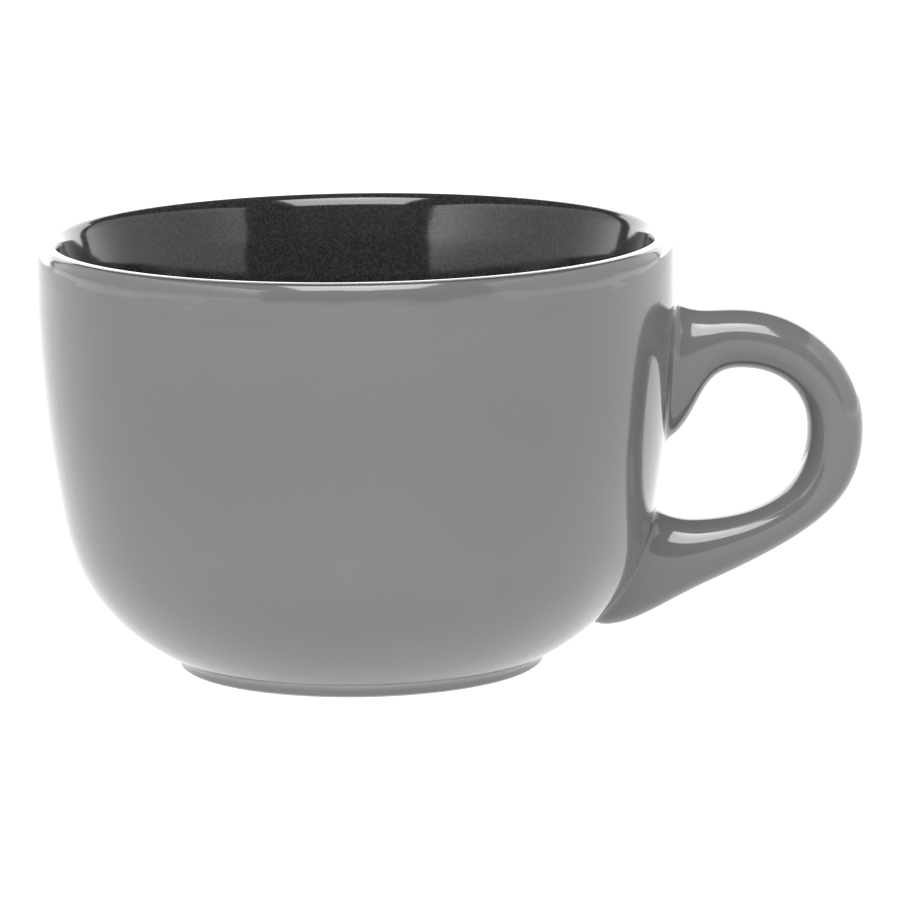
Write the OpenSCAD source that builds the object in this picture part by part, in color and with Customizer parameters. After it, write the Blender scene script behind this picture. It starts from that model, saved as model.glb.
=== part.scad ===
// Large cappuccino cup: a thick clay bowl on a foot ring, a loop handle, and its coats of glaze.
// The bowl's axis is Z, the foot stands on Z = 0, and the handle points along +X.

/* [Bowl] */

// Outside diameter at the widest part of the lip
rim_d = 124; // [100:1:150]

// Height from the surface it stands on to the top of the lip
cup_h = 84; // [70:1:100]

// Width of the lip's outer round, from its crest outward
lip_out_w = 2; // [1.6:0.1:2.4]

// Height of that outer round, down from the crest
lip_out_h = 4.8; // [4:0.1:5.4]

// Width of the lip's inner round, from its crest inward
lip_in_w = 3.1; // [2.7:0.1:3.5]

// Height of that inner round, down from the crest
lip_in_h = 7.9; // [6.5:0.1:9]

// Flatness of the lip's top: 2 makes both rounds ellipses, more is flatter and squarer
lip_power = 2.7; // [2:0.1:3]

// Thickness of the wall at the shoulder, where the wall turns into the bowl
wall_t = 7; // [6:0.1:8]

// Lean of the inside just under the lip, in degrees from upright
flare_lean = 17; // [14:0.5:18]

// Length of that straight flare, down from the lip's round
flare_run = 6; // [4:0.5:8]

// Thickness of the floor, from the inside to the recess under it
floor_t = 6; // [4:0.1:7]

// Diameter at the shoulder, as a share of the lip's
shoulder_d_share = 0.93; // [0.9:0.005:0.96]

// Height of the shoulder, as a share of the cup's height
shoulder_z_share = 0.352; // [0.32:0.001:0.4]

// Lean of the wall at the shoulder, in degrees from upright
shoulder_lean = 10.4; // [9:0.2:13]

// Slope of the bowl where it meets the foot ring, in degrees from level
heel_slope = 27; // [22:1:30]

/* [Foot ring] */

// Outside diameter of the foot ring, as a share of the lip's
foot_d_share = 0.575; // [0.53:0.001:0.6]

// Height of the foot ring's outer face
foot_h = 1.8; // [1.6:0.1:2.4]

// Width of the foot ring where it stands
foot_w = 5; // [4:0.1:7]

// Depth of the recess inside the foot ring
recess = 2.4; // [2:0.1:3.4]

// Radius of the small round at the ring's standing edges
foot_round = 0.25; // [0.15:0.05:0.3]

/* [Handle] */

// How far the handle stands out beyond the lip
reach = 36.6; // [32:0.2:42]

// Thickness of the handle at its back, from the finger gap outward
grip_t = 11; // [9:0.5:13]

// Thickness of the upper arm, as a share of the back's
upper_arm_share = 1.075; // [1:0.005:1.15]

// Width of the handle across the fingers
grip_w = 14.8; // [12:0.1:18]

// Roundness of the handle's section: 2 is an ellipse, more is squarer
section_power = 2.3; // [2:0.1:3]

// Height of the handle's highest line, as a share of the cup's height
top_z_share = 0.819; // [0.8:0.001:0.84]

// Height of the handle's farthest point, as a share of the cup's height
back_z_share = 0.536; // [0.51:0.001:0.56]

// Slope of the lower arm's underside at its neck, in degrees
lower_arm_slope = 24; // [20:1:28]

/* [Handle roots] */

// Width of the upper root on the wall
upper_root_w = 18.5; // [16:0.5:22]

// Top of the upper root, as a share of the cup's height
upper_root_top_share = 0.84; // [0.83:0.001:0.86]

// Bottom of the upper root, as a share of the cup's height
upper_root_low_share = 0.508; // [0.48:0.001:0.53]

// Spread of the upper root toward the wall, in degrees, at its top
upper_flare_top = 33; // [26:1:38]

// The same at its bottom, in the finger gap
upper_flare_gap = 36; // [30:1:40]

// Width of the lower root on the bowl
lower_root_w = 17.5; // [15:0.5:20]

// Top of the lower root, as a share of the cup's height
lower_root_top_share = 0.355; // [0.34:0.001:0.375]

// Bottom of the lower root, as a share of the cup's height
lower_root_low_share = 0.086; // [0.08:0.001:0.1]

// Spread of the lower root toward the bowl, in degrees, at its top in the finger gap
lower_flare_gap = 26; // [20:1:32]

// The same at its bottom, where it ends in a blunt heel
lower_flare_heel = 25; // [20:1:30]

/* [Glaze] */

// Thickness of every coat of glaze, and of the slip under the handle's roots
coat = 0.4; // [0.3:0.05:0.5]

// Height of the bare clay left at the foot, so that the cup doesn't stick in the kiln
dry_foot = 0.35; // [0.3:0.05:0.6]

// Where the dark inside glaze stops outside the crest, in degrees up the lip's round
liner_stop = 78; // [60:1:85]

/* [Hidden] */

$fn = 96;

rim_r = rim_d / 2;
crest_r = rim_r - lip_out_w;
foot_r = rim_r * foot_d_share;
ring_in_r = foot_r - foot_w;
floor_z = recess + floor_t;
shoulder = [rim_r * shoulder_d_share, cup_h * shoulder_z_share];
lean_dir = [-sin(shoulder_lean), -cos(shoulder_lean)];
heel_dir = [-cos(heel_slope), -sin(heel_slope)];

// Steps along each part of the lip's round, the wall, the bowl's turn and the small rounds
lip_steps = 8;
wall_steps = 10;
turn_steps = 22;
round_steps = 5;

// How far each curve's handles reach toward the corner of its end lines
wall_pull_share = 0.667;
turn_pull_upper_share = 0.7;
turn_pull_lower_share = 0.68;
inner_pull_upper_share = 0.72;
inner_pull_lower_share = 0.6;

// Small hollow between the bowl and the foot ring's outer face
foot_hollow = 0.9;

// Round in the recess's corner
recess_round = 1.3;

// Where the inside of the bowl runs flat into its floor, and where its turn starts and how it leans
floor_flat_share = 0.3;
inner_turn_lift_share = 0.03;
inner_shoulder_lean = 4.5;

// A point on a curve with two handles
function bez(a, b, c, d, t) =
    pow(1 - t, 3) * a + 3 * pow(1 - t, 2) * t * b + 3 * (1 - t) * pow(t, 2) * c + pow(t, 3) * d;

// Where the line from p along u meets the line from q along v
function cross2(a, b) = a[0] * b[1] - a[1] * b[0];
function corner(p, u, q, v) = p + u * cross2(q - p, v) / cross2(u, v);

// A curve from p to q whose handles reach shares of the way to the corner k
function turn(p, q, k, pull_p, pull_q, steps) =
    [for (i = [0:steps]) bez(p, p + (k - p) * pull_p, q + (k - q) * pull_q, q, i / steps)];

// A path moved sideways by d, to the left of its run
function unit(v) = v / norm(v);
function side_of(v) = [-v[1], v[0]];
function run_at(path, i) = path[min(i + 1, len(path) - 1)] - path[max(i - 1, 0)];
function shifted(path, d) = [for (i = [0:len(path) - 1]) path[i] + side_of(unit(run_at(path, i))) * d];

function tail(path) = [for (i = [1:len(path) - 1]) path[i]];
function backward(path) = [for (i = [len(path) - 1:-1:0]) path[i]];

// The lip's round: a squarish oval of width w and height h, from angle 0 at its side to 90 on the crest
function lip_bulge(v) = pow(abs(v), 2 / lip_power);
function lip_arc(w, h, from, to) =
    [
        for (i = [0:lip_steps])
            let (a = from + (to - from) * i / lip_steps)
            [crest_r + w * lip_bulge(cos(a)), cup_h - h + h * lip_bulge(sin(a))]
    ];

// The outside below the lip: wall, turn of the bowl, small hollow, and the foot ring's face
lip_side = [rim_r, cup_h - lip_out_h];
wall_corner = corner(lip_side, [0, -1], shoulder, lean_dir);
wall_line = turn(lip_side, shoulder, wall_corner, wall_pull_share, wall_pull_share, wall_steps);
foot_corner = [foot_r, foot_h];
turn_end = foot_corner - heel_dir * foot_hollow;
turn_corner = corner(shoulder, lean_dir, turn_end, heel_dir);
turn_line =
    turn(shoulder, turn_end, turn_corner, turn_pull_upper_share, turn_pull_lower_share, turn_steps);
hollow_end = foot_corner - [0, foot_hollow];
hollow_line = turn(turn_end, hollow_end, foot_corner, wall_pull_share, wall_pull_share, round_steps);
body_line = concat(wall_line, tail(turn_line), tail(hollow_line));

// The inside from the lip's round down: the flare, the wall, the turn and the flat floor
function down_at(lean) = [-sin(lean), -cos(lean)];
flare_angle = atan(pow(tan(flare_lean) * lip_in_h / lip_in_w, lip_power / (2 * lip_power - 2)));
inner_lip = lip_arc(-lip_in_w, lip_in_h, 90, flare_angle);
flare_end = inner_lip[lip_steps] + down_at(flare_lean) * flare_run;
inner_shoulder = [shoulder[0] - wall_t / cos(shoulder_lean), shoulder[1] + cup_h * inner_turn_lift_share];
inner_dir = down_at(inner_shoulder_lean);
inner_wall_corner = corner(flare_end, down_at(flare_lean), inner_shoulder, inner_dir);
inner_wall =
    turn(flare_end, inner_shoulder, inner_wall_corner, wall_pull_share, wall_pull_share, wall_steps);
floor_edge = [rim_r * floor_flat_share, floor_z];
inner_turn_corner = corner(inner_shoulder, inner_dir, floor_edge, [1, 0]);
inner_turn = turn(
    inner_shoulder, floor_edge, inner_turn_corner, inner_pull_upper_share, inner_pull_lower_share, turn_steps
);
inner_line = concat(inner_lip, inner_wall, tail(inner_turn));

// The whole skin, from the floor up the inside, over the lip and down to the foot, and the same
// with s taken off for a coat; the inside glaze stops at the point called stop
liner_edge = lip_arc(lip_out_w, lip_out_h, 90, liner_stop);
outer_lip = lip_arc(lip_out_w, lip_out_h, liner_stop, 0);
skin = concat(backward(inner_line), tail(liner_edge), tail(outer_lip), tail(body_line));
stop = len(inner_line) + lip_steps - 1;
function part_of(path, from, to) = [for (i = [from:to]) path[i]];
function outside(s) = concat(part_of(shifted(skin, -s), stop, len(skin) - 1), [[foot_r - s, dry_foot]]);
function inside(s) = concat(backward(part_of(shifted(skin, -s), 0, stop)), [[0, floor_z - s]]);

// The recess inside the foot ring, from the dry foot up and in to the axis
function recess_arc(s) = [
    for (i = [0:round_steps])
        [
            ring_in_r - recess_round + (recess_round + s) * cos(90 * i / round_steps),
            recess - recess_round + (recess_round + s) * sin(90 * i / round_steps)
        ]
];
function under(s) = concat([[ring_in_r + s, dry_foot]], recess_arc(s), [[0, recess + s]]);

// The bare clay edge that the cup stands on, from its outer side to its inner side
stand_out_r = foot_r - coat - foot_round;
stand_in_r = ring_in_r + coat + foot_round;
function edge_arc(centre_r, from, to) = [
    for (i = [0:round_steps])
        [
            centre_r + foot_round * cos(from + (to - from) * i / round_steps),
            foot_round + foot_round * sin(from + (to - from) * i / round_steps)
        ]
];
stand = concat(edge_arc(stand_out_r, 0, -90), edge_arc(stand_in_r, -90, -180));

clay_outline = concat(outside(coat), stand, under(coat), backward(tail(inside(coat))));

// Radius of the glazed outside at height z, and the slope of its outward direction there
radius_table = [for (p = backward(body_line)) [p[1], p[0]]];
function radius_at(z) = lookup(z, radius_table);
probe = cup_h / 400;
function out_at(z) = unit([2 * probe, radius_at(z - probe) - radius_at(z + probe)]);

// Handle: the outer and inner lines of the loop in the plane Y = 0
out_x = rim_r + reach;
in_x = out_x - grip_t;
back_z = cup_h * back_z_share;
top_z = cup_h * top_z_share;
gap_top_z = top_z - grip_t * upper_arm_share;

// The necks, where the even loop starts to spread into its roots: shares of the reach, and of the height
upper_neck_shares = [0.31, 0.34];
lower_neck_shares = [0.165, 0.135];
lower_neck_z_shares = [0.175, 0.326];
upper_neck_out = [rim_r + reach * upper_neck_shares[0], top_z];
upper_neck_in = [rim_r + reach * upper_neck_shares[1], gap_top_z];
lower_neck_out = [rim_r + reach * lower_neck_shares[0], cup_h * lower_neck_z_shares[0]];
lower_neck_in = [rim_r + reach * lower_neck_shares[1], cup_h * lower_neck_z_shares[1]];

// Slopes of the arms there
gap_floor_slope = 4;
slope_out = [cos(lower_arm_slope), sin(lower_arm_slope)];
slope_in = [cos(gap_floor_slope), sin(gap_floor_slope)];

// The bends between the necks and the back, and how far their handles reach
arm_steps = 20;
top_bend_shares = [0.6, 0.53];
gap_bend_shares = [0.6, 0.6];
outer_bend_shares = [0.82, 0.75];
finger_bend_shares = [0.7, 0.62];
back_out = [out_x, back_z];
back_in = [in_x, back_z];
function bend(p, u, q, v, pulls) = turn(p, q, corner(p, u, q, v), pulls[0], pulls[1], arm_steps);
outer_line = concat(
    bend(upper_neck_out, [1, 0], back_out, [0, 1], top_bend_shares),
    tail(bend(back_out, [0, 1], lower_neck_out, slope_out, outer_bend_shares))
);
finger_line = concat(
    bend(upper_neck_in, [1, 0], back_in, [0, 1], gap_bend_shares),
    tail(bend(back_in, [0, 1], lower_neck_in, slope_in, finger_bend_shares))
);

// The section: angle 0 is on the outer line and 180 on the finger line
section_sides = 28;
function squared(v) = sign(v) * pow(abs(v), 2 / section_power);
around = [for (i = [0:section_sides - 1]) 360 * i / section_sides];

function arm_ring(i, s) =
    let (mid = (outer_line[i] + finger_line[i]) / 2)
    let (across = (outer_line[i] - finger_line[i]) / 2)
    let (half = across * (norm(across) - s) / norm(across))
    [
        for (a = around)
            [
                mid[0] + half[0] * squared(cos(a)),
                (grip_w / 2 - s) * squared(sin(a)),
                mid[1] + half[1] * squared(cos(a))
            ]
    ];
function arm_rings(s) = [for (i = [0:len(outer_line) - 1]) arm_ring(i, s)];

// A root: from its own outline on the bowl, the surface spreads out to the arm's first ring
root_steps = 9;
upper_pull_shares = [0.42, 0.42];
lower_pull_shares = [0.28, 0.46];

// How far the clay handle's roots run on inside the bowl, before they are trimmed to it
bite = 1.5;
function on_bowl(y, z) = [sqrt(pow(radius_at(z), 2) - pow(y, 2)), y, z];
function out_dir(p) =
    let (n = out_at(p[2]))
    let (r = norm([p[0], p[1]]))
    [n[0] * p[0] / r, n[0] * p[1] / r, n[1]];
function root_ring(neck, lead, outer_z, finger_z, width, flare, pulls, s, step) =
    let (mid_z = (outer_z + finger_z) / 2)
    let (half_z = (outer_z - finger_z) / 2 * (1 - 2 * s / abs(outer_z - finger_z)))
    let (centre = on_bowl(0, mid_z))
    [
        for (k = [0:section_sides - 1])
            let (a = around[k])
            let (p = on_bowl((width / 2 - s) * squared(sin(a)), mid_z + half_z * squared(cos(a))))
            let (lean = (flare[0] + flare[1]) / 2 + (flare[0] - flare[1]) / 2 * cos(a))
            let (way = out_dir(p) + unit(centre - p) * tan(lean))
            let (pull = norm(neck[k] - p) * pulls)
            let (lead_in = neck[k] + unit(lead[k]) * pull[1])
            step == 0 ? p - way * bite : bez(p, p + unit(way) * pull[0], lead_in, neck[k], step / root_steps)
    ];
function root_rings(neck, lead, outer_z, finger_z, width, flare, pulls, s) =
    [for (j = [0:root_steps - 1]) root_ring(neck, lead, outer_z, finger_z, width, flare, pulls, s, j)];

function upper_rings(s) =
    let (arm = arm_rings(s))
    root_rings(
        arm[0], arm[0] - arm[1],
        cup_h * upper_root_top_share, cup_h * upper_root_low_share,
        upper_root_w, [upper_flare_top, upper_flare_gap],
        upper_pull_shares, s
    );
function lower_rings(s) =
    let (arm = arm_rings(s))
    let (last = len(arm) - 1)
    root_rings(
        arm[last], arm[last] - arm[last - 1],
        cup_h * lower_root_low_share, cup_h * lower_root_top_share,
        lower_root_w, [lower_flare_heel, lower_flare_gap],
        lower_pull_shares, s
    );
function handle_rings(s) = concat(upper_rings(s), arm_rings(s), backward(lower_rings(s)));

// The skin between rings a and b of a list of rings, as triangles
function band(a, b) = [
    for (k = [0:section_sides - 1])
        let (m = (k + 1) % section_sides)
        for (f = [[a + k, b + m, b + k], [a + k, a + m, b + m]]) f
];
function joined(lists) = [for (l = lists) for (p = l) p];
function mean(ring) = [for (j = [0:2]) [for (p = ring) p[j]] * [for (p = ring) 1] / len(ring)];
function fan(start, hub) =
    [for (k = [0:section_sides - 1]) [start + k, start + (k + 1) % section_sides, hub]];
function flipped(faces) = [for (f = faces) [f[2], f[1], f[0]]];

// A solid swept through rings, closed by a fan at each end
module swept(rings) {
    count = len(rings);
    hub = count * section_sides;
    last = (count - 1) * section_sides;
    sides = joined([for (j = [0:count - 2]) band(j * section_sides, (j + 1) * section_sides)]);
    ends = concat(flipped(fan(0, hub)), fan(last, hub + 1));
    polyhedron(concat(joined(rings), [mean(rings[0]), mean(rings[count - 1])]), concat(sides, ends));
}

// A hollow coat between two lists of rings, closed by a flat rim at each end
module swept_coat(outer, inner) {
    count = len(outer);
    shift = count * section_sides;
    last = (count - 1) * section_sides;
    steps = [for (j = [0:count - 2]) j * section_sides];
    outer_sides = joined([for (a = steps) band(a, a + section_sides)]);
    inner_sides = joined([for (a = steps) band(shift + a, shift + a + section_sides)]);
    rims = concat(flipped(band(0, shift)), band(last, shift + last));
    polyhedron(concat(joined(outer), joined(inner)), concat(outer_sides, flipped(inner_sides), rims));
}

// Everything inside the glazed outside of the bowl, to trim what is stuck on it
module bowl_block() {
    rotate([0, 0, 180])
        rotate_extrude() polygon(concat([[0, lip_side[1]]], body_line, [[0, hollow_end[1]]]));
}

// The layer that the outer glaze fills, between the clay and the glazed outside
module outer_layer() {
    rotate([0, 0, 180]) rotate_extrude() polygon(concat(outside(0), backward(outside(coat))));
}

// The first rings of each root of the clay handle, far enough out to pass all through that layer
stub_rings = 5;
function first_of(rings) = [for (j = [0:stub_rings]) rings[j]];
module upper_stub() {
    swept(first_of(upper_rings(coat)));
}

module lower_stub() {
    swept(backward(first_of(lower_rings(coat))));
}

module bowl_body() {
    color("tan") rotate_extrude() polygon(clay_outline);
}

module liner_glaze() {
    color("dimgray") rotate_extrude() polygon(concat(inside(0), backward(inside(coat))));
}

module underside_glaze() {
    color("silver") rotate_extrude() polygon(concat(under(0), backward(under(coat))));
}

module outer_glaze() {
    color("darkgray")
        difference() {
            outer_layer();
            upper_stub();
            lower_stub();
        }
}

module upper_slip_joint() {
    color("peru")
        intersection() {
            outer_layer();
            upper_stub();
        }
}

module lower_slip_joint() {
    color("peru")
        intersection() {
            outer_layer();
            lower_stub();
        }
}

module handle_body() {
    color("burlywood")
        difference() {
            swept(handle_rings(coat));
            bowl_block();
        }
}

module handle_glaze() {
    color("gray")
        difference() {
            swept_coat(handle_rings(0), handle_rings(coat));
            bowl_block();
        }
}

bowl_body();
handle_body();
upper_slip_joint();
lower_slip_joint();
liner_glaze();
outer_glaze();
handle_glaze();
underside_glaze();
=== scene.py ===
# %% [markdown]
# # A cappuccino cup in grey glaze, dressed for the camera
#
# The cup is a thick stoneware bowl turned on a wheel. Its loop handle is made apart in a mould and
# stuck on with slip. It is glazed in two colours: a dark one inside, poured first, and a grey one
# outside. The CAD model holds the clay, the slip and the coats of glaze as separate solids. This
# script keeps the clay and the slip, remakes the coats as smooth skins, gives everything its finish,
# and sets up the studio.

import bpy
import numpy as np
from mathutils import Matrix


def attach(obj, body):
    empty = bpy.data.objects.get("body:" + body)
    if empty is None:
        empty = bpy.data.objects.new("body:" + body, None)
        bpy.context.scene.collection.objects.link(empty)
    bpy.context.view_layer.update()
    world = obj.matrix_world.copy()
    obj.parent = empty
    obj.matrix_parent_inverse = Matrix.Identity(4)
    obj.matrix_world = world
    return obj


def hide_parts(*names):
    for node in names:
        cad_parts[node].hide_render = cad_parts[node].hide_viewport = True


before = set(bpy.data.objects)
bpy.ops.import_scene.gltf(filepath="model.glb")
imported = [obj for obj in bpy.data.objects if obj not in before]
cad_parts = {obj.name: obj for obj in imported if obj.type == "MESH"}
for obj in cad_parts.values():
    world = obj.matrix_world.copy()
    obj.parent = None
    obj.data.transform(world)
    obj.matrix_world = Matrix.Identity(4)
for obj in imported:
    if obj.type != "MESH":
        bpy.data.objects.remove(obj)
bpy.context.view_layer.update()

MM = 0.001
print("CAD nodes:", sorted(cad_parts))

# %% [markdown]
# ## The camera
#
# The picture was taken from far away with a long lens, a little above the rim, so the opening is a
# narrow oval and the sides hardly converge. A 260 mm lens at 1.25 m gives the same oval and the same
# foot curve. The camera is turned by three small angles until rim, foot and handle fall in place.

# %% Camera
camera_place = [0, -1.2481, 0.2674]
camera_degrees = [0.820, -10.262, -0.747]
focal_length_mm, sensor_width_mm = 259.9, 36
nearest_seen, farthest_seen = 0.05, 30


def photo_camera():
    """Forward is the unit vector at the heading and pitch, and side is forward x up.

    Side and the upward axis then turn about forward by the roll.
    """
    heading, pitch, roll = np.radians(camera_degrees)
    forward = np.array([np.sin(heading) * np.cos(pitch), np.cos(heading) * np.cos(pitch), np.sin(pitch)])
    side = np.cross(forward, [0, 0, 1])
    side /= np.linalg.norm(side)
    above = np.cross(side, forward)
    rolled_side = np.cos(roll) * side + np.sin(roll) * above
    rolled_above = np.cos(roll) * above - np.sin(roll) * side
    lens = bpy.data.cameras.new("photo_camera")
    lens.lens, lens.sensor_width = focal_length_mm, sensor_width_mm
    lens.clip_start, lens.clip_end = nearest_seen, farthest_seen
    camera = bpy.data.objects.new("photo_camera", lens)
    bpy.context.scene.collection.objects.link(camera)
    place = np.eye(4)
    place[:3, :3] = np.column_stack([rolled_side, rolled_above, -forward])
    place[:3, 3] = camera_place
    camera.matrix_world = Matrix(place.tolist())
    return camera


bpy.context.scene.camera = photo_camera()
bpy.context.scene.view_settings.view_transform = "Standard"
print("camera at", [round(v, 4) for v in bpy.context.scene.camera.location])

# %% [markdown]
# ## Sizes
#
# These are the CAD model's own sizes, in millimetres, so each coat of glaze lies on its clay.

# %% Sizes of the cup, in millimetres
rim_radius = 62.0
cup_height = 84.0
lip_out_w, lip_out_h = 2.0, 4.8
lip_in_w, lip_in_h, lip_power = 3.1, 7.9, 2.7
crest_radius = rim_radius - lip_out_w
flare_lean, flare_run = 17.0, 6.0
wall_thickness, floor_thickness = 7.0, 6.0
shoulder = np.array([rim_radius * 0.93, cup_height * 0.352])
shoulder_lean, inner_shoulder_lean, heel_slope = 10.4, 4.5, 27.0
foot_radius, foot_height, foot_width = rim_radius * 0.575, 1.8, 5.0
recess_depth, recess_round, foot_hollow = 2.4, 1.3, 0.9
coat, dry_foot, liner_stop = 0.4, 0.35, 78.0

handle_reach, grip_thickness, grip_width, section_power = 36.6, 11.0, 14.8, 2.3
handle_top, handle_back = 0.819 * cup_height, 0.536 * cup_height
upper_arm_share, lower_arm_slope, gap_floor_slope = 1.075, 24.0, 4.0
upper_root = dict(
    width=18.5, outer_z=0.84 * cup_height, finger_z=0.508 * cup_height,
    flare=(33.0, 36.0), pulls=(0.42, 0.42), fillet=2.0,
)
lower_root = dict(
    width=17.5, outer_z=0.086 * cup_height, finger_z=0.355 * cup_height,
    flare=(25.0, 26.0), pulls=(0.28, 0.46), fillet=1.4,
)
print(f"cup {2 * rim_radius} mm across, {cup_height} mm high; handle {grip_thickness} by {grip_width} mm")

# %% [markdown]
# ## Curves
#
# A potter's profile is a few easy bends between straight runs. Each bend here is a cubic curve whose
# two handles point at the corner where its end lines would meet, as in the CAD model.

# %% Bends between two lines
even_pulls = (0.667, 0.667)


def cubic(start, pull_out, pull_in, end, t):
    """The four points weighted (1-t)^3, 3(1-t)^2 t, 3(1-t) t^2 and t^3; t may be an array."""
    t = np.asarray(t, float)[..., None]
    rest = 1 - t
    return rest**3 * start + 3 * rest**2 * t * pull_out + 3 * rest * t**2 * pull_in + t**3 * end


def meeting(p, u, q, v):
    """Where the line from p along u meets the line from q along v: p plus u times (q-p) x v / u x v."""
    cross = lambda a, b: a[0] * b[1] - a[1] * b[0]
    return p + u * cross(q - p, v) / cross(u, v)


def bend(p, u, q, v, pulls, count):
    """A cubic curve from p, leaving along u, to q, arriving along v.

    Its two handles reach the given shares of the way to the corner where the end lines meet.
    """
    p, u, q, v = (np.array(a, float) for a in (p, u, q, v))
    corner = meeting(p, u, q, v)
    leave, arrive = p + (corner - p) * pulls[0], q + (corner - q) * pulls[1]
    return cubic(p, leave, arrive, q, np.linspace(0, 1, count + 1))


def heading(slope):
    """The unit vector at an angle above level, in degrees."""
    return np.array([np.cos(np.radians(slope)), np.sin(np.radians(slope))])


def moved(path, distance):
    """Every point moved to the left of the path's run, which is the way between its two neighbours."""
    run = np.gradient(path, axis=0)
    run /= np.linalg.norm(run, axis=1, keepdims=True)
    return path + distance * np.column_stack([-run[:, 1], run[:, 0]])


quarter = bend((1, 0), (0, 1), (0, 1), (-1, 0), (0.552, 0.552), 2)
print("middle of a round quarter bend:", quarter[1].round(3).tolist())

# %% [markdown]
# ## The bowl's outline
#
# The outside drops almost straight from the lip, leans in a little, turns under in one round sweep
# and meets the foot ring in a small hollow. The lip's crest lies nearer its outer side, and the
# inside flares open just below it. The photograph shows this by its reflections: an upright inside
# would mirror the opposite wall and not the studio's soft boxes.

# %% Outline of the bowl as radius and height


def lip_arc(width, height, start, end, count):
    """A squarish oval, for angles a in degrees and k = 2 / lip power.

    Its radius is crest radius + width cos^k a, and its height cup height - height (1 - sin^k a).
    """
    a = np.radians(np.linspace(start, end, count + 1))
    across, up = np.abs(np.cos(a)) ** (2 / lip_power), np.abs(np.sin(a)) ** (2 / lip_power)
    return np.column_stack([crest_radius + width * across, cup_height - height + height * up])


lip_side = np.array([rim_radius, cup_height - lip_out_h])
foot_corner = np.array([foot_radius, foot_height])
down_wall, down_heel = -heading(90 - shoulder_lean), -heading(heel_slope)
turn_end = foot_corner - down_heel * foot_hollow
wall_line = bend(lip_side, (0, -1), shoulder, down_wall, even_pulls, 34)
turn_line = bend(shoulder, down_wall, turn_end, down_heel, (0.7, 0.68), 60)
hollow_line = bend(turn_end, down_heel, foot_corner - [0, foot_hollow], (0, -1), even_pulls, 12)
body_line = np.vstack([wall_line, turn_line[1:], hollow_line[1:]])

flare_slope = np.tan(np.radians(flare_lean)) * lip_in_h / lip_in_w
flare_angle = np.degrees(np.arctan(flare_slope ** (lip_power / (2 * lip_power - 2))))
inner_lip = lip_arc(-lip_in_w, lip_in_h, 90, flare_angle, 26)
flare_end = inner_lip[-1] - heading(90 - flare_lean) * flare_run
inner_shoulder = shoulder + [-wall_thickness / np.cos(np.radians(shoulder_lean)), 0.03 * cup_height]
down_inside = -heading(90 - inner_shoulder_lean)
inner_wall = bend(flare_end, -heading(90 - flare_lean), inner_shoulder, down_inside, even_pulls, 30)
floor_edge = np.array([0.3 * rim_radius, recess_depth + floor_thickness])
inner_turn = bend(inner_shoulder, down_inside, floor_edge, (1, 0), (0.72, 0.6), 44)
inner_line = np.vstack([inner_lip, inner_wall, inner_turn[1:]])
print("bowl outline:", len(body_line), "points outside,", len(inner_line), "inside")

# %% [markdown]
# The two glazes meet on the lip, just outside its crest. Splitting one long skin line there keeps
# both coats the same thickness and lets them touch along one edge.

# %% Split the skin where the inside glaze stops
edge_steps = 12
liner_edge = lip_arc(lip_out_w, lip_out_h, 90, liner_stop, edge_steps)
outer_lip = lip_arc(lip_out_w, lip_out_h, liner_stop, 0, 16)
skin_line = np.vstack([inner_line[::-1], liner_edge[1:], outer_lip[1:], body_line[1:]])
clay_line = moved(skin_line, -coat)
stop = len(inner_line) + edge_steps - 1
print("the glazes meet at", np.round(skin_line[stop], 2), "mm")

# %% [markdown]
# ## Turning a coat on the wheel
#
# Every coat on the bowl is an outline turned about the axis. A closed outline gives a ring; one that
# starts and ends on the axis gives a round plate, whose two middle points close as small fans.

# %% Turned skins and meshes


def faces_outward(points, quads):
    """The quads in the order that encloses a positive volume: the sum of a . (b x c) / 6 over triangles."""
    a, b, c, d = (points[quads[:, k]] for k in range(4))
    volume = np.einsum("ij,ij->", a, np.cross(b, c)) + np.einsum("ij,ij->", a, np.cross(c, d))
    return quads if volume > 0 else quads[:, ::-1]


def ring_quads(rows, columns, closed):
    """Quads between each row of a grid and the next; columns always run round, rows only when closed."""
    last = rows if closed else rows - 1
    row, column = np.meshgrid(np.arange(last), np.arange(columns), indexing="ij")
    beside, here, above = (column + 1) % columns, row * columns, (row + 1) % rows * columns
    return np.stack([here + column, here + beside, above + beside, above + column], -1).reshape(-1, 4)


def new_piece(name, points, quads, fans=()):
    """A smooth mesh from points in millimetres, its quads, and fans given as (hub, ring) index pairs."""
    faces = quads.tolist()
    for hub, ring in fans:
        faces += [[int(hub), int(p), int(q)] for p, q in zip(ring, np.roll(ring, -1))]
    mesh = bpy.data.meshes.new(name)
    mesh.from_pydata((points * MM).tolist(), [], faces)
    mesh.polygons.foreach_set("use_smooth", np.ones(len(mesh.polygons), bool))
    mesh.update()
    piece = bpy.data.objects.new(name, mesh)
    bpy.context.scene.collection.objects.link(piece)
    print(f"{name}: {len(points)} points, {sum(len(f) - 2 for f in faces)} triangles")
    return piece


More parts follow.
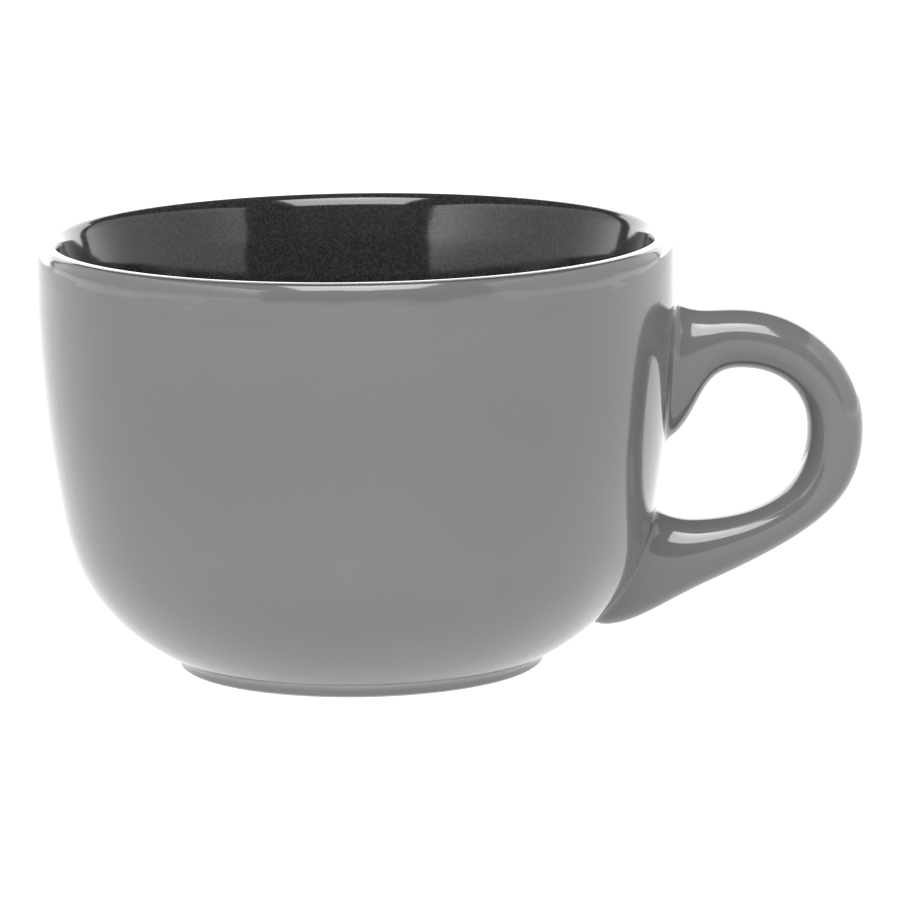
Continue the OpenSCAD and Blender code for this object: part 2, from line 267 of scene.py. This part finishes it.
def turned(name, outline, around=320):
    """x = r cos v, y = r sin v, z = h, for every point (r, h) of the outline and every angle v.

    The outline is turned round if its area, half the sum of r h' - r' h over neighbours, is negative,
    so faces look outward. Each of its points on the axis, where r is 0, becomes one point.
    """
    on_axis = outline[:, 0] < 1e-9
    ring_part = outline[~on_axis]
    (radii, heights), (next_radii, next_heights) = outline.T, np.roll(outline, -1, axis=0).T
    if np.sum(radii * next_heights - next_radii * heights) < 0:
        ring_part = ring_part[::-1]
    v = np.linspace(0, 2 * np.pi, around, endpoint=False)
    r, h = ring_part[:, :1], ring_part[:, 1:]
    points = np.stack([r * np.cos(v), r * np.sin(v), h + 0 * v], -1).reshape(-1, 3)
    quads = ring_quads(len(ring_part), around, closed=not on_axis.any())
    if not on_axis.any():
        return new_piece(name, points, quads)
    hubs = np.sort(outline[on_axis, 1])
    first, last = np.arange(around), (len(ring_part) - 1) * around + np.arange(around)
    low_first = ring_part[0, 1] < ring_part[-1, 1]
    hub_heights = hubs if low_first else hubs[::-1]
    points = np.vstack([points, [[0, 0, hub_heights[0]], [0, 0, hub_heights[1]]]])
    fans = [(len(points) - 2, first[::-1]), (len(points) - 1, last)]
    return new_piece(name, points, quads, fans)


# %% [markdown]
# ## Outside glaze
#
# The cup is dipped upside down in the grey glaze and its foot is wiped, so the coat ends in a
# small rounded edge just above the table. Its hidden side lies on the clay and can be coarser.

# %% Outside glaze
edge_round = 0.1


def soft_edge(from_point, to_point, count=8):
    """A half oval hanging between two points: middle + half gap * cos a, lowered by round * sin a."""
    a = np.linspace(0, np.pi, count + 1)[1:-1, None]
    middle, half = (from_point + to_point) / 2, (from_point - to_point) / 2
    return middle + half * np.cos(a) + np.array([0, -edge_round]) * np.sin(a)


glaze_end = np.array([foot_radius, dry_foot + edge_round])
clay_end = glaze_end - [coat, 0]
outside_outline = np.vstack([
    skin_line[stop:], glaze_end, soft_edge(glaze_end, clay_end), clay_end,
    clay_line[:stop - 1:-1][::2], clay_line[stop],
])
outside_glaze = turned("outside_glaze", outside_outline)

# %% [markdown]
# ## Inside glaze
#
# The dark glaze is poured in and out again. It covers the inside, runs over the crest of the lip
# and stops in a fine line on its outer side.

# %% Inside glaze
floor_height = recess_depth + floor_thickness
inside_outline = np.vstack([
    [[0, floor_height]], skin_line[: stop + 1],
    clay_line[stop::-1][::2], clay_line[0], [[0, floor_height - coat]],
])
inside_glaze = turned("inside_glaze", inside_outline)

# %% [markdown]
# ## Glaze in the recess of the foot
#
# Under the cup the recess inside the foot ring is glazed too, up to the dry clay ring it stands on.

# %% Underside glaze


def recess_line(thickness, count):
    """Up the ring's inside, through the recess's corner and in to the axis.

    The corner is its centre plus (round + thickness) times cos a and sin a, a quarter turn.
    """
    a = np.linspace(0, np.pi / 2, count + 1)
    inner = foot_radius - foot_width
    round_x = inner - recess_round + (recess_round + thickness) * np.cos(a)
    round_z = recess_depth - recess_round + (recess_round + thickness) * np.sin(a)
    edge = [[inner + thickness, dry_foot + edge_round]]
    flat = np.linspace(round_x[-1], 0, 24)[1:, None] * [1, 0] + [0, recess_depth + thickness]
    return np.vstack([edge, np.column_stack([round_x, round_z]), flat])


under_skin, under_clay = recess_line(0, 16), recess_line(coat, 8)
under_outline = np.vstack([under_skin[::-1], soft_edge(under_skin[0], under_clay[0]), under_clay])
underside_glaze = turned("underside_glaze", under_outline, around=240)

# %% [markdown]
# ## The handle's coat
#
# The handle has a squarish oval section that follows an outer line and a finger line. At each end it
# spreads over the wall, and glaze gathers in the corner as a narrow fillet. So each strand of the
# skin starts flat on the bowl, climbs through the fillet, and follows the root to the arm.

# %% Lines of the handle
outer_x, inner_x = rim_radius + handle_reach, rim_radius + handle_reach - grip_thickness
upper_neck_out = np.array([rim_radius + 0.31 * handle_reach, handle_top])
upper_neck_in = np.array([rim_radius + 0.34 * handle_reach, handle_top - upper_arm_share * grip_thickness])
lower_neck_out = np.array([rim_radius + 0.165 * handle_reach, 0.175 * cup_height])
lower_neck_in = np.array([rim_radius + 0.135 * handle_reach, 0.326 * cup_height])
outer_back, inner_back, arm_steps = (outer_x, handle_back), (inner_x, handle_back), 44
outer_line = np.vstack([
    bend(upper_neck_out, (1, 0), outer_back, (0, 1), (0.6, 0.53), arm_steps),
    bend(outer_back, (0, 1), lower_neck_out, heading(lower_arm_slope), (0.82, 0.75), arm_steps)[1:],
])
finger_line = np.vstack([
    bend(upper_neck_in, (1, 0), inner_back, (0, 1), (0.6, 0.6), arm_steps),
    bend(inner_back, (0, 1), lower_neck_in, heading(gap_floor_slope), (0.7, 0.62), arm_steps)[1:],
])
print("handle lines:", len(outer_line), "points each, thickness at the back", outer_x - inner_x, "mm")

# %% [markdown]
# Two things come first: the squarish section, and the bowl's wall where the handle meets it.

# %% Section and wall


def squared(v):
    """Sign of v times |v|^(2 / section power): a circle's cos and sin become a squarish oval's."""
    return np.sign(v) * np.abs(v) ** (2 / section_power)


def unit(v):
    """Each vector divided by its length."""
    return v / np.linalg.norm(v, axis=-1, keepdims=True)


def wall_radius(z):
    """The glazed wall's radius at a height."""
    return np.interp(z, body_line[::-1, 1], body_line[::-1, 0])


def on_bowl(y, z):
    """The wall's point at a height z and a distance y from the handle's plane: x = sqrt(r(z)^2 - y^2)."""
    return np.stack([np.sqrt(wall_radius(z) ** 2 - y**2), y, z], -1)


def wall_outward(points, step=0.3):
    """Away from the axis and across the slope, the change of radius over two steps of height."""
    z = points[..., 2]
    slope = (wall_radius(z + step) - wall_radius(z - step)) / (2 * step)
    return unit(np.concatenate([unit(points[..., :2]), -slope[..., None]], -1))


wall_check = on_bowl(np.zeros(2), np.array([20.0, 60.0]))
print("wall at 20 and 60 mm up:", wall_check.round(2).tolist())
print("its outward directions:", wall_outward(wall_check).round(3).tolist())

# %% [markdown]
# The skin is made of strands. On the arm they pass from ring to ring. In a root each strand is a
# cubic curve from the wall to the arm, and in a fillet a shorter one from the wall to the root.

# %% Strands of the handle


def arm_skin(angle, inset):
    """Rings of the arm, one for each point of the two lines.

    A ring is their middle plus half their gap times squared cos, and half the width times squared sin.
    """
    middle, across = (outer_line + finger_line) / 2, (outer_line - finger_line) / 2
    size = np.linalg.norm(across, axis=1, keepdims=True)
    half = across * (size - inset) / size
    c, s = squared(np.cos(angle)), squared(np.sin(angle))
    x = middle[:, :1] + half[:, :1] * c
    z = middle[:, 1:] + half[:, 1:] * c
    return np.stack([x, 0 * x + (grip_width / 2 - inset) * s, z], -1)


def root_strands(root, neck, lead, angle, inset, t):
    """Cubic strands from the root's outline on the wall to the arm's first ring; t runs along them.

    They leave the wall at the flare's lean, which passes from the outer to the finger side by cos.
    """
    middle_z, half_z = (root["outer_z"] + root["finger_z"]) / 2, (root["outer_z"] - root["finger_z"]) / 2
    half_z *= 1 - inset / abs(half_z)
    sideways = (root["width"] / 2 - inset) * squared(np.sin(angle))
    foot = on_bowl(sideways, middle_z + half_z * squared(np.cos(angle)))
    centre = on_bowl(np.array(0.0), np.array(middle_z))
    outer_lean, finger_lean = root["flare"]
    lean = (outer_lean + finger_lean) / 2 + (outer_lean - finger_lean) / 2 * np.cos(angle)
    way = wall_outward(foot) + unit(centre - foot) * np.tan(np.radians(lean))[:, None]
    gap = np.linalg.norm(neck - foot, axis=1, keepdims=True)
    start, arrive = foot + unit(way) * gap * root["pulls"][0], neck + unit(lead) * gap * root["pulls"][1]
    return foot, centre, cubic(foot, start, arrive, neck, np.asarray(t)[:, None] + 0 * angle)


def fillet_strands(foot, centre, strand_start, size, sink, count, pull=0.75):
    """Cubic strands from the wall, a fillet's size outside the root's outline, to the root.

    Both their handles reach a share, the pull, of the way to the outline.
    """
    out = foot - centre
    normal = wall_outward(foot)
    out = unit(out - normal * np.sum(out * normal, -1, keepdims=True))
    landing = foot + out * size
    landing = on_bowl(landing[:, 1], landing[:, 2]) - wall_outward(landing) * sink
    leave, arrive = landing + (foot - landing) * pull, strand_start + (foot - strand_start) * pull
    t = np.linspace(0, 1, count + 1)[:-1, None] + 0 * foot[:, 0]
    return cubic(landing, leave, arrive, strand_start, t)


# %% [markdown]
# The fillet's size is how far glaze creeps from the corner. It is small here: the photograph
# shows a crisp crease where the handle meets the wall.

# %% Handle glaze
fillet_sink, fillet_steps, root_steps, hidden_steps = 0.04, 9, 26, 8


def root_skin(root, neck, lead, angle):
    """The fillet's rows and then the root's, from the wall outward, without the arm's first ring."""
    foot, centre, _ = root_strands(root, neck, lead, angle, 0, [0])
    length = np.linalg.norm(neck - foot, axis=1)
    share = np.clip(root["fillet"] / np.maximum(length * 3 * root["pulls"][0], 1e-6), 0, 0.3).mean()
    _, _, strands = root_strands(root, neck, lead, angle, 0, np.linspace(share, 1, root_steps + 1)[:-1])
    fillet = fillet_strands(foot, centre, strands[0], root["fillet"], fillet_sink, fillet_steps)
    return np.vstack([fillet, strands])


def handle_rows(angle, inset):
    """All rows from the upper root to the lower root; an inset skin is the clay's and has no fillet."""
    arm = arm_skin(angle, inset)
    ends = [(upper_root, arm[0], arm[0] - arm[1]), (lower_root, arm[-1], arm[-1] - arm[-2])]
    if inset:
        t = np.linspace(0, 1, hidden_steps + 1)[:-1]
        upper, lower = (root_strands(*end, angle, inset, t)[2] for end in ends)
        arm = arm[::4]
    else:
        upper, lower = (root_skin(*end, angle) for end in ends)
    return np.concatenate([upper, arm, lower[::-1]])


section_angles = np.linspace(0, 2 * np.pi, 128, endpoint=False)
outer_rows, clay_rows = handle_rows(section_angles, 0), handle_rows(section_angles, coat)
handle_grid = np.concatenate([outer_rows, clay_rows[::-1]])
handle_points = handle_grid.reshape(-1, 3)
handle_quads = faces_outward(handle_points, ring_quads(len(handle_grid), len(section_angles), closed=True))
handle_glaze = new_piece("handle_coat", handle_points, handle_quads)

# %% [markdown]
# ## Finishes: the effects that glazes share
#
# Fired glaze is never quite even. It lies in faint long waves over the throwing marks, has a very
# fine orange peel, drifts a little in tone with a fine grain, and keeps a few pinholes where gas
# escaped. One group makes all of these from the place on the cup, and each glaze decides how
# strongly it uses them. First come small tools that add one node each.

# %% Tools for shader nodes


def add(tree, kind, place, **inputs):
    """A shader node of that kind; inputs are set or linked by name, or by number as _0, _1 and _2."""
    node = tree.nodes.new(kind)
    node.location = place
    for name, value in inputs.items():
        socket = node.inputs[int(name[1:]) if name[1:].isdigit() else name.replace("_", " ")]
        if isinstance(value, bpy.types.NodeSocket):
            tree.links.new(value, socket)
        else:
            socket.default_value = value
    return node


def maths(tree, operation, place, a, b=0.0, c=0.0):
    """A maths node: one operation on one, two or three values or sockets."""
    node = add(tree, "ShaderNodeMath", place, _0=a, _1=b, _2=c)
    node.operation = operation
    return node.outputs[0]


def ramp(tree, place, value, low, high):
    """Value spread smoothly from 0 at low to 1 at high."""
    node = add(tree, "ShaderNodeMapRange", place, Value=value, From_Min=low, From_Max=high)
    node.interpolation_type = "SMOOTHSTEP"
    return node.outputs[0]


def object_place(tree, place):
    """The place on the object, in metres from its origin."""
    return add(tree, "ShaderNodeTexCoord", place).outputs["Object"]


def noise(tree, place, where, scale, detail, roughness=0.5):
    """Soft noise between 0 and 1, with about that many features in a metre."""
    settings = dict(Scale=scale, Detail=detail, Roughness=roughness)
    return add(tree, "ShaderNodeTexNoise", place, Vector=where, **settings).outputs[0]


def mixed(tree, place, factor, a, b):
    """A blend of two colours, a where the factor is 0 and b where it is 1."""
    node = tree.nodes.new("ShaderNodeMix")
    node.data_type = "RGBA"
    node.location = place
    for index, value in ((0, factor), (6, a), (7, b)):
        if isinstance(value, bpy.types.NodeSocket):
            tree.links.new(value, node.inputs[index])
        else:
            node.inputs[index].default_value = value
    return node.outputs[2]


def grey(value, warmth=0.0):
    """A grey as red, green, blue and alpha; warmth lifts red and lowers blue by that share."""
    return (value * (1 + warmth), value, value * (1 - warmth), 1)


print("a warm grey of 0.5:", grey(0.5, 0.1))

# %% [markdown]
# The group lays five patterns over each other, each with its own number of features in a metre: a
# slow drift and a fine grain for the tone, long waves and a fine peel for the surface, and pinholes.

# %% A group for the glaze's unevenness
drift_scale, grain_scale = 38.0, 2600.0
wave_scale, peel_scale, peel_share = 55.0, 420.0, 0.035
pinhole_scale, pinhole_edge, pinhole_chance = 85.0, (0.024, 0.012), (0.80, 0.82)


def glaze_unevenness():
    """A node group without inputs, whose three outputs depend on the place on the cup.

    Tone is a slow drift with a fine grain, Wave long waves with a fine peel, and Pinholes 1 in the
    dots of a few cells and 0 elsewhere.
    """
    group = bpy.data.node_groups.new("glaze_unevenness", "ShaderNodeTree")
    for name in ("Tone", "Wave", "Pinholes"):
        group.interface.new_socket(name, in_out="OUTPUT", socket_type="NodeSocketFloat")
    where = object_place(group, (-1000, 0))
    drift = noise(group, (-700, 300), where, drift_scale, 3.0, 0.55)
    grain = maths(group, "SUBTRACT", (-700, 460), noise(group, (-900, 460), where, grain_scale, 1.0), 0.5)
    tone = maths(group, "ADD", (-500, 300), drift, grain)
    long_wave = noise(group, (-700, 60), where, wave_scale, 1.0, 0.4)
    peel = noise(group, (-700, -180), where, peel_scale, 2.0)
    fine_peel = maths(group, "MULTIPLY", (-480, -140), peel, peel_share)
    wave = maths(group, "ADD", (-300, 0), long_wave, fine_peel)
    dots = add(group, "ShaderNodeTexVoronoi", (-700, -420), Vector=where, Scale=pinhole_scale)
    cell = add(group, "ShaderNodeSeparateColor", (-480, -560), Color=dots.outputs["Color"]).outputs[0]
    near = ramp(group, (-480, -400), dots.outputs["Distance"], *pinhole_edge)
    few = ramp(group, (-300, -560), cell, *pinhole_chance)
    pinholes = maths(group, "MULTIPLY", (-120, -420), near, few)
    add(group, "NodeGroupOutput", (200, 0), Tone=tone, Wave=wave, Pinholes=pinholes)
    return group


unevenness = glaze_unevenness()
print("group", unevenness.name, [s.name for s in unevenness.interface.items_tree])

# %% [markdown]
# Every finish starts as an empty node material and ends the same way: its colour, its bump and its
# roughness go to one shader.

# %% Starting and ending a finish


def new_finish(name):
    """An empty node material, its tree and its Principled shader."""
    finish = bpy.data.materials.new(name)
    finish.use_nodes = True
    shader = finish.node_tree.nodes["Principled BSDF"]
    shader.location = (400, 0)
    finish.node_tree.nodes["Material Output"].location = (720, 0)
    return finish, finish.node_tree, shader


def uneven_effects(tree):
    """The Tone, Wave and Pinholes of the shared group, placed in a finish."""
    node = add(tree, "ShaderNodeGroup", (-700, 200))
    node.node_tree = unevenness
    return [node.outputs[name] for name in ("Tone", "Wave", "Pinholes")]


def dress(tree, shader, colour, height, depth, rough_by, smoothest, roughest):
    """Joins to the shader a colour, a bump of that depth in metres, and a roughness that runs with a value."""
    bump = add(tree, "ShaderNodeBump", (200, -200), Strength=1.0, Distance=depth, Height=height)
    rough = add(tree, "ShaderNodeMapRange", (0, 0), Value=rough_by, To_Min=smoothest, To_Max=roughest)
    joined = {"Base Color": colour, "Normal": bump.outputs[0], "Roughness": rough.outputs[0]}
    for name, socket in joined.items():
        tree.links.new(socket, shader.inputs[name])


glaze_ior = 1.5
print("tools for finishes are ready; glaze bends light by", glaze_ior)

# %% [markdown]
# ## Grey glaze
#
# A glossy opaque glaze: a mid grey body colour under a hard clear surface that mirrors the white
# floor and the soft boxes. Its colour drifts by a few hundredths. The bowl is dipped upside down, so
# its glaze drains towards the lip and sags in waves just below it. Towards the foot the grey is
# painted paler, as painted fill light on the lower wall. On the lip the dark glaze bleeds into it
# along an uneven line. The foot is wiped with a sponge. Its ring is painted paler as painted light,
# and paler still where it meets the bowl, a painted highlight in that crease that also lifts its shade.

# %% What dipping leaves on the bowl, and its painted light low down and on the foot
# Below the first height the grey turns paler down to the second: painted fill light on the lower wall.
low_painted_light_heights = (0.060, 0.008)
wall_greys, low_painted_light_greys = (0.0925, 0.1035), (0.115, 0.129)
lip_bleed = dict(heights=(0.08350, 0.08390), value=0.05)
# The band above the foot ring is a painted highlight in the crease, which also lifts the shade there.
crease_painted_highlight = dict(heights=(0.00350, 0.00280), value=0.30)
# The foot ring's face below is painted paler: painted light where the bowl above shades it.
foot_painted_light = dict(heights=(0.00250, 0.00195), value=0.20)
wander_height = 0.0003
sag_scale, sag_squeeze, sag_depth, sag_heights = 70.0, 3.0, 3.0, (0.0745, 0.0785)


def bowl_colour(tree, tone, wave, z):
    """The bowl's grey, painted paler towards the foot as painted fill light, with another grey past each of
    three uneven heights: the lip's dark edge, a painted highlight in the foot's crease, and painted light on
    the foot ring.
    """
    wall_grey = mixed(tree, (-600, 420), tone, *map(grey, wall_greys))
    low_painted_light = mixed(tree, (-600, 620), tone, *map(grey, low_painted_light_greys))
    colour = mixed(tree, (-350, 420), ramp(tree, (-600, 820), z, *low_painted_light_heights), wall_grey, low_painted_light)
    uneven_z = maths(tree, "MULTIPLY_ADD", (-700, -120), wave, wander_height, z)
    for row, part in enumerate((lip_bleed, crease_painted_highlight, foot_painted_light)):
        reached = ramp(tree, (-400, -160 - 140 * row), uneven_z, *part["heights"])
        colour = mixed(tree, (-200 + 50 * row, 200), reached, colour, grey(part["value"]))
    return colour


def sagging(tree, x, y, z, height):
    """Adds noise that is squeezed up and down, so its waves lie along the lip, and fades out lower down."""
    squeezed_z = maths(tree, "MULTIPLY", (-1100, 560), z, sag_squeeze)
    squeezed = add(tree, "ShaderNodeCombineXYZ", (-900, 560), X=x, Y=y, Z=squeezed_z).outputs[0]
    near_lip = ramp(tree, (-700, 760), z, *sag_heights)
    sag = maths(tree, "MULTIPLY", (-500, 560), noise(tree, (-700, 560), squeezed, sag_scale, 1.5), near_lip)
    return maths(tree, "MULTIPLY_ADD", (-300, 500), sag, sag_depth, height)


# The foot's paler grey below that height is painted light.
print("the lip bleeds from", lip_bleed["heights"][0], "m up; the foot is wiped below", foot_painted_light["heights"][0])

# %% [markdown]
# The handle comes out of a mould, so a faint seam runs round it in the plane of the loop, cleaned
# away in places.

# %% Grey glaze
plain_greys, pinhole_painted_shade, pinhole_depth = (0.095, 0.106), 0.03, 0.8
seam_edge, seam_patches, seam_depth = (0.00055, 0.0001), (0.42, 0.62), 0.5
grey_bump, grey_roughness = 0.00009, (0.07, 0.12)


def mould_seam(tree, tone, y, height):
    """Adds a fine ridge along the plane y = 0 where the tone is high."""
    line = ramp(tree, (-540, -300), maths(tree, "ABSOLUTE", (-700, -300), y), *seam_edge)
    patchy = ramp(tree, (-540, -440), tone, *seam_patches)
    ridge = maths(tree, "MULTIPLY", (-360, -300), line, patchy)
    return maths(tree, "MULTIPLY_ADD", (-200, -200), ridge, seam_depth, height)


def grey_glaze(name, dipped_with_painted_light=False, seam=False):
    """Grey gloss with drifting colour, waves, and pinholes darkened by painted shade.

    Dipped with painted light adds the bowl's greys, with painted light low down and on the foot, the lip's dark
    edge and the sags below the lip; seam adds the ridge of the handle's mould.
    """
    finish, tree, shader = new_finish(name)
    tone, wave, pinholes = uneven_effects(tree)
    where = object_place(tree, (-1100, -200))
    x, y, z = add(tree, "ShaderNodeSeparateXYZ", (-900, -200), Vector=where).outputs
    colour = mixed(tree, (-400, 260), tone, *map(grey, plain_greys))
    height = wave
    if dipped_with_painted_light:
        colour, height = bowl_colour(tree, tone, wave, z), sagging(tree, x, y, z, height)
    if seam:
        height = mould_seam(tree, tone, y, height)
    # Pinholes take a near black grey: painted shade inside the small holes.
    colour = mixed(tree, (0, 240), pinholes, colour, grey(pinhole_painted_shade))
    hole = maths(tree, "MULTIPLY", (-160, -360), pinholes, pinhole_depth)
    height = maths(tree, "SUBTRACT", (0, -160), height, hole)
    dress(tree, shader, colour, height, grey_bump, tone, *grey_roughness)
    shader.inputs["IOR"].default_value = glaze_ior
    return finish


grey_outside = grey_glaze("grey_glaze_outside", dipped_with_painted_light=True)
grey_handle = grey_glaze("grey_glaze_handle", seam=True)
grey_under = grey_glaze("grey_glaze_underside")
print("grey glazes:", grey_outside.name, grey_handle.name, grey_under.name)

# %% [markdown]
# ## Dark inside glaze
#
# The dark glaze is speckled: its surface is full of fine pits, less than a millimetre apart, that
# show black where the glaze mirrors nothing bright. The pits are the middles of small cells, each
# of its own strength. They are too fine to show as hollows, so their shade is painted instead: a
# near black of painted shade darkens them, and they dull the glaze.

# %% Dark glaze
pit_scale, pit_edge, pit_strength, pit_painted_shade = 2500.0, (0.55, 0.2), (0.1, 0.5), 0.003
speck_scale, speck_range, dark_greys = 1500.0, (0.35, 0.7), (0.0125, 0.0245)
dark_bump, dark_roughness = 0.00008, (0.08, 0.14)


def dark_glaze():
    """Dark gloss: a speckled grey with dots darkened by painted shade and duller, and the shared waves as its
    bump.
    """
    finish, tree, shader = new_finish("dark_glaze_inside")
    _, wave, _ = uneven_effects(tree)
    where = object_place(tree, (-1300, 0))
    cells = add(tree, "ShaderNodeTexVoronoi", (-1000, 0), Vector=where, Scale=pit_scale)
    cell = add(tree, "ShaderNodeSeparateColor", (-800, -120), Color=cells.outputs["Color"]).outputs[0]
    dot = ramp(tree, (-800, 60), cells.outputs["Distance"], *pit_edge)
    pit = maths(tree, "MULTIPLY", (-420, 0), dot, ramp(tree, (-600, -120), cell, *pit_strength))
    speck = ramp(tree, (-800, -300), noise(tree, (-1000, -300), where, speck_scale, 2.0, 0.6), *speck_range)
    body = mixed(tree, (-200, 200), speck, *map(grey, dark_greys))
    # Pits take a near black grey: painted shade inside them.
    colour = mixed(tree, (0, 200), pit, body, grey(pit_painted_shade))
    dress(tree, shader, colour, wave, dark_bump, pit, *dark_roughness)
    shader.inputs["IOR"].default_value = glaze_ior
    return finish


dark_inside = dark_glaze()
print("dark glaze:", dark_inside.name)

# %% [markdown]
# ## Clay and slip
#
# Bare clay shows only on the ring the cup stands on: pale, dry and sandy, a little worn and soiled
# where it touches the table. The slip is the same clay as a fine cream, smoother and lighter.

# %% Clay and slip
sand_scale, sand_range, patch_scale = 1400.0, (0.3, 0.7), 120.0
clay_warmth, sand_warmth, soil_warmth, soil_share = 0.08, 0.06, 0.1, 0.6
wear_heights, clay_roughness = (0.0004, 0.0), (0.75, 0.95)


def fired_clay(name, pale, dull, grain_depth, wear):
    """Matt clay: coarse and fine grain in colour and bump, and darker patches low down if it wears."""
    finish, tree, shader = new_finish(name)
    where = object_place(tree, (-1100, 0))
    sand = noise(tree, (-800, 100), where, sand_scale, 4.0, 0.65)
    patch = noise(tree, (-800, -160), where, patch_scale, 3.0, 0.6)
    grains = ramp(tree, (-600, 100), sand, *sand_range)
    colour = mixed(tree, (-400, 200), grains, grey(dull, clay_warmth), grey(pale, sand_warmth))
    if wear:
        z = add(tree, "ShaderNodeSeparateXYZ", (-900, -400), Vector=where).outputs[2]
        soil = maths(tree, "MULTIPLY", (-500, -300), ramp(tree, (-700, -400), z, *wear_heights), patch)
        colour = mixed(tree, (-200, 200), soil, colour, grey(dull * soil_share, soil_warmth))
    height = maths(tree, "ADD", (-400, -60), sand, patch)
    dress(tree, shader, colour, height, grain_depth, patch, *clay_roughness)
    return finish


bare_clay = fired_clay("stoneware_clay", 0.62, 0.46, 0.00008, wear=True)
fine_slip = fired_clay("clay_slip", 0.68, 0.58, 0.00003, wear=False)
print("clays:", bare_clay.name, fine_slip.name)

# %% [markdown]
# ## Putting finishes and pieces together
#
# Each new coat stands for its CAD node, which is hidden, and rides on the cup's one body. The clay
# and slip nodes stay and take their finishes in their own slots.

# %% Finishes onto pieces
coats = [
    (outside_glaze, "outer_glaze", "grey_glaze", grey_outside),
    (inside_glaze, "liner_glaze", "dark_glaze", dark_inside),
    (underside_glaze, "underside_glaze", "grey_glaze", grey_under),
    (handle_glaze, "handle_glaze", "grey_glaze", grey_handle),
]
for piece, node_name, slot_name, finish in coats:
    piece.data.materials.append(finish)
    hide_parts(node_name)
    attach(piece, "root")

kept = {
    "bowl_body": bare_clay, "handle_body": bare_clay,
    "upper_slip_joint": fine_slip, "lower_slip_joint": fine_slip,
}
for node_name, finish in kept.items():
    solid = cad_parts[node_name]
    if not solid.material_slots:
        solid.data.materials.append(finish)
    for material_slot in solid.material_slots:
        material_slot.material = finish
print("coats:", [piece.name for piece, *_ in coats], "kept:", sorted(kept))

# %% [markdown]
# ## Studio
#
# The cup stands on a white sweep lit so brightly that no shadow is left. The reflections tell where
# the lights are: a long soft box close by on each side, one big soft box high in front, a white sheet
# behind, and a dim room round the camera. The floor is pale and adds an even light of its own.

# %% Floor and surroundings
floor_grey, floor_glow, room_glow, backdrop_glow = 0.35, 1.0, 0.16, 1.1


def pale_floor(half_size=6.0):
    """A flat square at height zero with a white matt finish that also glows evenly."""
    corners = np.array([[-1, -1, 0], [1, -1, 0], [1, 1, 0], [-1, 1, 0]]) * half_size / MM
    floor = new_piece("studio_floor", corners, np.array([[0, 1, 2, 3]]))
    finish, tree, shader = new_finish("white_sweep")
    shader.inputs["Base Color"].default_value = grey(floor_grey)
    shader.inputs["Roughness"].default_value = 0.8
    shader.inputs["Emission Color"].default_value = grey(1.0)
    shader.inputs["Emission Strength"].default_value = floor_glow
    floor.data.materials.append(finish)
    return floor


def surroundings():
    """White for the camera, and a dim room for reflections and fill."""
    world = bpy.data.worlds.new("studio_room")
    bpy.context.scene.world = world
    world.use_nodes = True
    tree = world.node_tree
    tree.nodes.clear()
    camera_sees = add(tree, "ShaderNodeLightPath", (-400, 300)).outputs["Is Camera Ray"]
    colour = mixed(tree, (0, 100), camera_sees, grey(room_glow), grey(backdrop_glow))
    background = add(tree, "ShaderNodeBackground", (200, 0), Color=colour)
    add(tree, "ShaderNodeOutputWorld", (400, 0), Surface=background.outputs[0])


pale_floor()
surroundings()

# %% [markdown]
# A soft box is never evenly bright. It glows most in front of its bulb, so each one here has an even
# strength and one or two hot spots on top. Only the sheet behind the cup is plain.

# %% Soft boxes
even_strength = 0.85


def soft_box(name, centre, target, width, height, radiance, hot_spots=()):
    """A flat light that faces the target; its power is radiance times pi times its area.

    A hot spot is its place as shares of width and height, its reach, and what its middle adds.
    """
    lamp = bpy.data.lights.new(name, "AREA")
    lamp.shape = "RECTANGLE"
    lamp.size, lamp.size_y = width, height
    lamp.energy = radiance * np.pi * width * height
    if hot_spots:
        lamp.use_nodes = True
        tree, strength = lamp.node_tree, even_strength
        where = add(tree, "ShaderNodeNewGeometry", (-900, 0)).outputs["Parametric"]
        for row, (across, up, reach, gain) in enumerate(hot_spots):
            away = add(tree, "ShaderNodeVectorMath", (-700, -200 * row), _0=where, _1=(across, up, 0))
            away.operation = "DISTANCE"
            glow = ramp(tree, (-500, -200 * row), away.outputs["Value"], reach, 0.0)
            strength = maths(tree, "MULTIPLY_ADD", (-300, -200 * row), glow, gain, strength)
        tree.links.new(strength, tree.nodes["Emission"].inputs["Strength"])
    box = bpy.data.objects.new(name, lamp)
    bpy.context.scene.collection.objects.link(box)
    centre, target = np.array(centre, float), np.array(target, float)
    back = unit(centre - target)
    side = unit(np.cross([0, 0, 1], back))
    place = np.eye(4)
    place[:3, :3] = np.column_stack([side, np.cross(back, side), back])
    place[:3, 3] = centre
    box.matrix_world = Matrix(place.tolist())
    box.visible_camera = False
    return box


# %% [markdown]
# The places, sizes and strengths come from the reflections: the bright edges of the wall, the two
# windows inside, the far lip's glint and the streak along the handle's top.

# %% Four lights
left_spots = [(0.95, 0.98, 0.8, 2.1), (0, 0.3, 0.32, 0.8)]
right_spots = [(0, 1, 0.6, 1.0), (1, 0.35, 0.4, 0.9)]
high_spots = [(0.5, 0.95, 0.6, 0.5)]
soft_box("left_soft_box", (-0.60, -0.195, 0.31), (0, -0.195, 0.31), 1.53, 0.60, 1.2, left_spots)
soft_box("right_soft_box", (0.62, 0.045, 0.31), (0, 0.045, 0.31), 1.19, 0.60, 1.25, right_spots)
soft_box("back_sheet", (0, 1.3, 0.45), (0, 0, 0.45), 2.2, 0.90, 3.6)

cup_middle, high_distance = np.array([0, 0, 0.06]), 1.1
turn, climb = np.radians(2), np.radians(52)
toward_high = np.array([np.sin(turn) * np.cos(climb), -np.cos(turn) * np.cos(climb), np.sin(climb)])
high_place = high_distance * toward_high + cup_middle
soft_box("high_soft_box", high_place, cup_middle, 0.84, 0.78, 10.6, high_spots)
